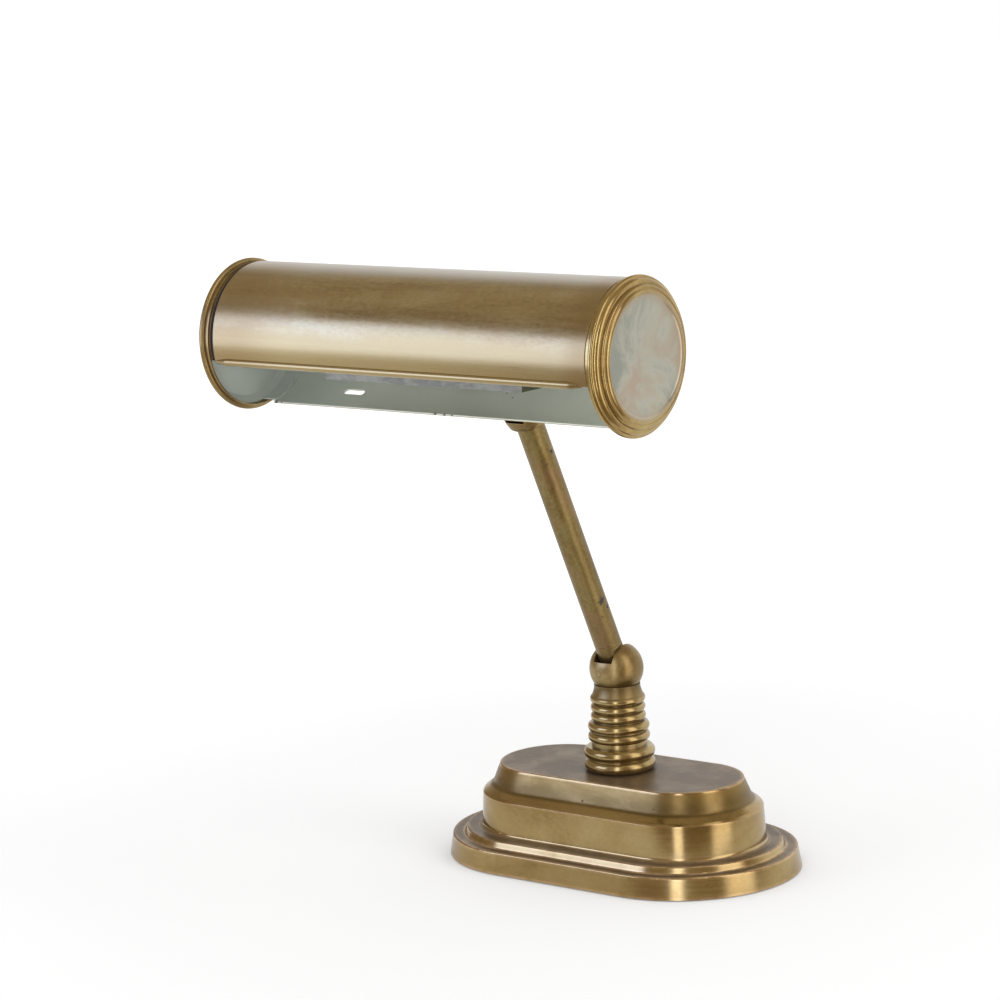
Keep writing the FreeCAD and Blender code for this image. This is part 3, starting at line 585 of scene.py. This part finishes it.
def shadeMaterial():
    look = {**brassLook, **shadeLook}
    material, tree, shader = newMaterial("shadeBrassAndPaint")
    place = restPlace(tree)[0]
    x, y, z = parts(tree, place)
    radius = shadeRadius(tree, y, z)
    colour, metal, rough, dent = brassLayers(tree, look)

    # painted reflection round the tube, and darker ends
    ahead = calc(tree, "SUBTRACT", shadeAxis["y"], y)
    up = calc(tree, "SUBTRACT", z, shadeAxis["z"])
    slope = calc(tree, "DEGREES", calc(tree, "ARCTAN2", up, ahead))
    slope = total(tree, slope, swing(tree, streaks(tree, place, look["slopeStretch"]), look["slopeWave"]))
    for value, span, share, tone in (
            (slope, "topRange", "topShare", "topPaintedReflection"),
            (slope, "lowRange", "lowShare", "lowPaintedReflection"),
            (x, "endRange", "endShare", "endTone"),
            (x, "rightEndRange", "rightEndShare", "endTone")):
        colour = mixColour(tree, between(tree, value, *look[span], 0.0, look[share]), colour, look[tone])

    # paint inside, but not on the two necks
    outer = calc(tree, "GREATER_THAN", radius, look["neckRadius"])
    rightNeck = calc(tree, "GREATER_THAN", x, look["neckFrom"])
    leftNeck = product(tree, calc(tree, "LESS_THAN", x, look["gapTo"]), outer)
    inside = between(tree, radius, *look["paintRadius"])
    inside = calc(tree, "SUBTRACT", inside, highest(tree, rightNeck, leftNeck), clamp=True)
    colour = mixColour(tree, inside, colour, paintColour(tree, place))

    # painted shade in the open gap, and chips
    gap = product(tree, window(tree, x, look["gapFrom"], look["gapTo"], look["gapBlur"]), outer)
    colour = mixColour(tree, gap, colour, look["gapShadeColour"])
    chips = allSpots(tree, place, look["chips"])
    colour = mixColour(tree, chips, colour, look["chip"])

    painted = highest(tree, inside, highest(tree, gap, chips))
    rough = mixNumber(tree, inside, rough, paintLook["roughness"])
    feed(tree, shader.inputs["Base Color"], colour)
    feed(tree, shader.inputs["Metallic"], product(tree, metal, opposite(tree, painted)))
    feed(tree, shader.inputs["Roughness"], mixNumber(tree, gap, rough, look["gapRoughness"]))
    feed(tree, shader.inputs["Normal"], dent)
    feed(tree, shader.inputs["Coat Weight"], mixNumber(tree, gap, look["coat"], 0.0))
    shader.inputs["Coat Roughness"].default_value = look["coatRoughness"]
    return material


# end caps: gold rings round a pale, cloudy face that is patina and partly a painted reflection, and paint
# inside; the left one is darker
capLook = {
    "dark": (0.32, 0.217, 0.076),
    "middle": (0.45, 0.32, 0.122),
    "light": (0.53, 0.41, 0.18),
    "blotch": (30.0, 30.0, 30.0),
    "stippleShare": 0.12,
    "stippleRelief": 0.1,
    "bumpStrength": 0.015,
    "brush": (140.0, 30.0, 30.0),
    "topBrush": (140.0, 30.0, 30.0),
    "brushShare": 0.03,
    "rosyShare": 0.4,
    "grimeAndShadeShare": 0.6,
    "roughness": 0.20,
    "roughSpread": 0.10,
    # the pale face, patina and partly a painted reflection, inside faceRadius and looking outward
    "faceRadius": 0.0352,
    "faceBlur": 0.004,
    "faceFacing": 0.5,
    "faceShare": 0.92,
    "faceDull": 0.35,
    "cool": (0.29, 0.31, 0.27),
    "pale": (0.45, 0.45, 0.375),
    "rosyFace": (0.44, 0.36, 0.28),
    "faceAt": (0.38, 0.50, 0.62),
    "cloudStretch": (22.0, 22.0, 22.0),
    "cloudGrain": (5.0, 0.62, 0.8),
    # its tanned rim
    "rimFace": (0.40, 0.315, 0.225),
    "rimRange": (0.026, 0.034),
    "rimWave": 0.03,
    "rimShare": 0.75,
    # the painted inside
    "paintRadius": (0.0399, 0.0397),
    "paintFacing": -0.2,
}
leftCapLook = {
    "dark": (0.25, 0.172, 0.070),
    "middle": (0.35, 0.25, 0.106),
    "light": (0.43, 0.33, 0.155),
    "roughness": 0.30,
}


def capMaterial(name, side, changes):
    # side is 1 for the right cap and -1 for the left one
    look = {**brassLook, **capLook, **changes}
    material, tree, shader = newMaterial(name)
    place, normal = restPlace(tree)
    y, z = parts(tree, place)[1:]
    radius = shadeRadius(tree, y, z)
    outward = product(tree, parts(tree, normal)[0], side)
    colour, metal, rough, dent = brassLayers(tree, look)

    # pale face: patina and partly a painted reflection
    cloud = streaks(tree, place, look["cloudStretch"], *look["cloudGrain"])
    patinaAndReflection = colourRamp(tree, cloud, look["faceAt"], (look["cool"], look["pale"], look["rosyFace"]))
    uneven = total(tree, radius, swing(tree, cloud, look["rimWave"]))
    rim = between(tree, uneven, *look["rimRange"], 0.0, look["rimShare"])
    patinaAndReflection = mixColour(tree, rim, patinaAndReflection, look["rimFace"])
    face = between(tree, radius, look["faceRadius"], look["faceRadius"] - look["faceBlur"])
    face = product(tree, face, calc(tree, "GREATER_THAN", outward, look["faceFacing"]))
    colour = mixColour(tree, product(tree, face, look["faceShare"]), colour, patinaAndReflection)

    # paint
    inside = product(
        tree, between(tree, radius, *look["paintRadius"]),
        calc(tree, "LESS_THAN", outward, look["paintFacing"]))
    colour = mixColour(tree, inside, colour, paintColour(tree, place))
    dull = highest(tree, inside, product(tree, face, look["faceDull"]))
    feed(tree, shader.inputs["Base Color"], colour)
    feed(tree, shader.inputs["Metallic"], product(tree, metal, opposite(tree, dull)))
    feed(tree, shader.inputs["Roughness"], mixNumber(tree, inside, rough, paintLook["roughness"]))
    feed(tree, shader.inputs["Normal"], dent)
    return material


dress(shadeMaterial(), "shade_shell")
dress(capMaterial("capBrassRight", 1.0, {}), "right_end_cap")
dress(capMaterial("capBrassLeft", -1.0, leftCapLook), "left_end_cap")
print("shade and end caps finished")


# plain finishes: a main colour, a second one in clouds, metal (1) or not (0), roughness and pattern scale
plainLook = {
    "zinc": {
        "pieces": ("lamp_bracket", "saddle_washer"),
        "colour": (0.28, 0.262, 0.185), "second": (0.19, 0.178, 0.128),
        "metal": 1.0, "roughness": 0.36, "scale": 60.0, "stretch": (2.0, 4.0, 4.0)},
    "platedSteel": {
        "pieces": ("plate_screws", "stud_nuts", "stud_washers", "base_stud", "stem_nut", "holder_nuts"),
        "colour": (0.55, 0.55, 0.53), "second": (0.36, 0.35, 0.32),
        "metal": 1.0, "roughness": 0.32, "scale": 200.0},
    "steelSheet": {
        "pieces": ("bottom_plate",),
        "colour": (0.42, 0.42, 0.41), "second": (0.30, 0.29, 0.28),
        "metal": 1.0, "roughness": 0.40, "scale": 80.0},
    "castWeight": {
        "pieces": ("base_weight",),
        "colour": (0.10, 0.10, 0.10), "second": (0.06, 0.055, 0.05),
        "metal": 0.6, "roughness": 0.65, "scale": 260.0, "relief": 0.6},
    "greenFelt": {
        "pieces": ("felt_pad",),
        "colour": (0.045, 0.075, 0.050), "second": (0.030, 0.050, 0.035),
        "metal": 0.0, "roughness": 0.95, "scale": 900.0, "relief": 1.0},
    "bushBlack": {
        "pieces": ("cord_bush",),
        "colour": (0.035, 0.032, 0.030), "second": (0.05, 0.047, 0.042),
        "metal": 0.0, "roughness": 0.45, "scale": 300.0},
    "leadCover": {
        "pieces": ("arm_lead", "holder_leads"),
        "colour": (0.16, 0.11, 0.05), "second": (0.10, 0.07, 0.035),
        "metal": 0.0, "roughness": 0.7, "scale": 900.0},
    "holderBody": {
        "pieces": ("lampholders",),
        "colour": (0.72, 0.68, 0.58), "second": (0.62, 0.57, 0.46),
        "metal": 0.0, "roughness": 0.35, "scale": 120.0},
    "bulbCap": {
        "pieces": ("bulb_caps",),
        "colour": (0.66, 0.66, 0.62), "second": (0.48, 0.47, 0.43),
        "metal": 1.0, "roughness": 0.33, "scale": 240.0},
    "bulbGlass": {
        "pieces": ("bulb_glasses",),
        "colour": (0.80, 0.79, 0.75), "second": (0.74, 0.73, 0.69),
        "metal": 0.0, "roughness": 0.30, "scale": 90.0},
}
plainPattern = {
    "stretch": (1.0, 1.0, 1.0),
    "relief": 0.1,
    "reliefDepth": 0.0004,
    "cloudGrain": (5.0, 0.6),
    "cloudRange": (0.35, 0.68),
    "fineTimes": 9.0,  # how much tighter the fine pattern is than the clouds
    "fineGrain": (3.0, 0.6),
    "fineRange": (0.2, 0.8),
    "smoother": 0.08,
    "rougher": 0.12,
}


def plainFinish(name, changes):
    look = {**plainPattern, **changes}
    material, tree, shader = newMaterial(name)
    place = stretched(tree, restPlace(tree)[0], look["stretch"])
    cloud = noise(tree, place, look["scale"], *look["cloudGrain"])
    fine = noise(tree, place, look["scale"] * look["fineTimes"], *look["fineGrain"])
    clouds = between(tree, cloud, *look["cloudRange"])
    rough = between(
        tree, fine, *look["fineRange"],
        look["roughness"] - look["smoother"], look["roughness"] + look["rougher"])
    feed(tree, shader.inputs["Base Color"], mixColour(tree, clouds, look["colour"], look["second"]))
    shader.inputs["Metallic"].default_value = look["metal"]
    feed(tree, shader.inputs["Roughness"], rough)
    feed(tree, shader.inputs["Normal"], bump(tree, fine, look["relief"], look["reliefDepth"]))
    return material


for name, look in plainLook.items():
    dress(plainFinish(name, look), *look["pieces"])
print("plain finishes put on")

cameraLook = {
    "place": (1.180084, -1.616207, 0.584480),
    "right": (0.79248488, 0.6082485, -0.04473788),
    "up": (-0.07441138, 0.16923447, 0.98276276),
    "back": (0.60533517, -0.77549562, 0.17937637),
    "lens": 125.013,
    "sensor": 36.0,
    "clip": (0.05, 60.0),
}
cameraData = bpy.data.cameras.new("camera")
camera = bpy.data.objects.new("camera", cameraData)
bpy.context.scene.collection.objects.link(camera)
facing = Matrix((cameraLook["right"], cameraLook["up"], cameraLook["back"])).transposed()
camera.matrix_world = Matrix.Translation(Vector(cameraLook["place"])) @ facing.to_4x4()
cameraData.lens = cameraLook["lens"]
cameraData.sensor_width = cameraLook["sensor"]
cameraData.clip_start, cameraData.clip_end = cameraLook["clip"]
bpy.context.scene.camera = camera
print("camera set")

# floor: pale paper that glows a little to the camera, so that it runs into the white background
floorLook = {
    "size": 14.0,
    "drop": 0.0002,  # so that the floor and the felt don't share a plane
    "colour": (0.90, 0.90, 0.90),
    "roughness": 0.9,
    "shine": 0.0,
    "nearGlow": 0.13,
    "farGlow": 0.40,
    "glowFrom": 0.25,
    "glowFull": 1.1,
    "tableEnd": 0.18,
    "tableAzimuth": 50.0,
}


def makeFloor():
    half = floorLook["size"] / 2
    low = -floorLook["drop"]
    corners = [(-half, -half, low), (half, -half, low), (half, half, low), (-half, half, low)]
    mesh = bpy.data.meshes.new("floor")
    mesh.from_pydata(corners, [], [(0, 1, 2, 3)])
    floor = bpy.data.objects.new("floor", mesh)
    bpy.context.scene.collection.objects.link(floor)

    material, tree, shader = newMaterial("floorPaper")
    place = restPlace(tree)[0]
    feed(tree, shader.inputs["Base Color"], floorLook["colour"])
    shader.inputs["Roughness"].default_value = floorLook["roughness"]
    shader.inputs["Specular IOR Level"].default_value = floorLook["shine"]
    rays = tree.nodes.new("ShaderNodeLightPath")
    glow = between(
        tree, distance(tree, place, (0.0, 0.0, 0.0)), floorLook["glowFrom"], floorLook["glowFull"],
        floorLook["nearGlow"], floorLook["farGlow"])
    feed(tree, shader.inputs["Emission Color"], white)
    feed(tree, shader.inputs["Emission Strength"], product(tree, glow, rays.outputs["Is Camera Ray"]))

    # the table ends in front: past that line the metal sees the room below it
    x, y = parts(tree, place)[:2]
    turn = math.radians(floorLook["tableAzimuth"])
    ahead = calc(
        tree, "SUBTRACT", product(tree, x, math.sin(turn)), product(tree, y, math.cos(turn)))
    pastEnd = calc(tree, "GREATER_THAN", ahead, floorLook["tableEnd"])
    seeThrough = tree.nodes.new("ShaderNodeBsdfTransparent")
    mixed = tree.nodes.new("ShaderNodeMixShader")
    feed(tree, mixed.inputs[0], product(tree, pastEnd, rays.outputs["Is Glossy Ray"]))
    tree.links.new(shader.outputs[0], mixed.inputs[1])
    tree.links.new(seeThrough.outputs[0], mixed.inputs[2])
    tree.links.new(mixed.outputs[0], tree.nodes["Material Output"].inputs["Surface"])
    mesh.materials.append(material)
    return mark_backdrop(floor)


makeFloor()
print("floor made")

# room: what the metal mirrors, and the even light on matt things; angles in degrees
roomLook = {
    "evenLight": 0.80,
    "backdrop": white,
    "backdropFrom": 112.0,
    "backdropFull": 140.0,
    "front": (0.36, 0.285, 0.19),
    "ceiling": (0.47, 0.40, 0.29),
    "ceilingFrom": 32.0,
    "ceilingFull": 44.0,
}
# bright panels that the metal mirrors: azimuth 0 is the front (-Y) and 90 the right (+X)
panelLook = {
    "camera": {
        "azimuths": (19.5, 31.0), "sideBlur": 1.5,
        "heights": (-40.0, 50.0), "endBlur": 6.0, "colour": (2.9, 3.0, 3.4)},
    "right": {
        "azimuths": (75.0, 105.0), "sideBlur": 5.0,
        "heights": (-40.0, 56.0), "endBlur": 8.0, "colour": (1.9, 1.8, 1.75)},
}


def makeRoom():
    world = bpy.data.worlds.new("room")
    bpy.context.scene.world = world
    world.use_nodes = True
    tree = world.node_tree
    tree.nodes.clear()
    output = tree.nodes.new("ShaderNodeOutputWorld")
    place = tree.nodes.new("ShaderNodeTexCoord")
    side, back, up = parts(tree, place.outputs["Generated"])
    azimuth = calc(tree, "DEGREES", calc(tree, "ARCTAN2", side, product(tree, back, -1.0)))
    height = calc(tree, "DEGREES", calc(tree, "ARCSINE", up))
    turned = calc(tree, "ABSOLUTE", azimuth)
    behind = between(tree, turned, roomLook["backdropFrom"], roomLook["backdropFull"])
    above = between(tree, height, roomLook["ceilingFrom"], roomLook["ceilingFull"])
    sky = mixColour(tree, behind, roomLook["front"], roomLook["backdrop"])
    sky = mixColour(tree, above, sky, roomLook["ceiling"])
    for look in panelLook.values():
        across = window(tree, azimuth, *look["azimuths"], look["sideBlur"])
        upward = window(tree, height, *look["heights"], look["endBlur"])
        sky = mixColour(tree, product(tree, across, upward), sky, look["colour"])

    # plain white to the camera, the room to metal and glass, and even light to the rest
    rays = tree.nodes.new("ShaderNodeLightPath")
    sky = mixColour(tree, rays.outputs["Is Camera Ray"], sky, white)
    seen = highest(
        tree, rays.outputs["Is Camera Ray"], rays.outputs["Is Glossy Ray"],
        rays.outputs["Is Transmission Ray"])
    shown = tree.nodes.new("ShaderNodeBackground")
    feed(tree, shown.inputs["Color"], sky)
    even = tree.nodes.new("ShaderNodeBackground")
    feed(tree, even.inputs["Color"], white)
    even.inputs["Strength"].default_value = roomLook["evenLight"]
    mixed = tree.nodes.new("ShaderNodeMixShader")
    tree.links.new(seen, mixed.inputs[0])
    tree.links.new(even.outputs[0], mixed.inputs[1])
    tree.links.new(shown.outputs[0], mixed.inputs[2])
    tree.links.new(mixed.outputs[0], output.inputs["Surface"])


makeRoom()

# lamps: the card lights metal only and the boxes light matt things only; azimuths as above
lampLook = {
    "leftCard": {
        "place": (-0.486, -0.790, 0.464), "azimuth": -37.4, "size": (0.62, 0.492),
        "level": 0.86, "colour": (1.85, 2.36, 4.1), "metal": True},
    "leftBox": {
        "place": (-1.565, -2.076, 0.800), "azimuth": -37.0, "size": (0.9, 1.5),
        "level": 1.7, "colour": white, "metal": False},
    "cameraBox": {
        "place": (1.099, -2.356, 1.600), "azimuth": 25.0, "size": (0.5, 3.1),
        "level": 3.0, "colour": white, "metal": False},
    "rightBox": {
        "place": (2.600, 0.000, 1.700), "azimuth": 90.0, "size": (1.1, 3.3),
        "level": 2.2, "colour": white, "metal": False},
}


def makeLamp(name, look):
    data = bpy.data.lights.new(name, "AREA")
    data.shape = "RECTANGLE"
    data.size, data.size_y = look["size"]
    data.energy = look["level"] * math.pi * data.size * data.size_y
    data.color = look["colour"]
    lamp = bpy.data.objects.new(name, data)
    bpy.context.scene.collection.objects.link(lamp)
    angle = math.radians(look["azimuth"])
    inward = Vector((-math.sin(angle), math.cos(angle), 0))
    lamp.location = look["place"]
    lamp.rotation_euler = inward.to_track_quat("-Z", "Y").to_euler()
    lamp.visible_camera = False
    lamp.visible_glossy = look["metal"]
    lamp.visible_diffuse = not look["metal"]


for name, look in lampLook.items():
    makeLamp(name, look)
print("room and lamps made")

bpy.context.scene.view_settings.view_transform = "Standard"
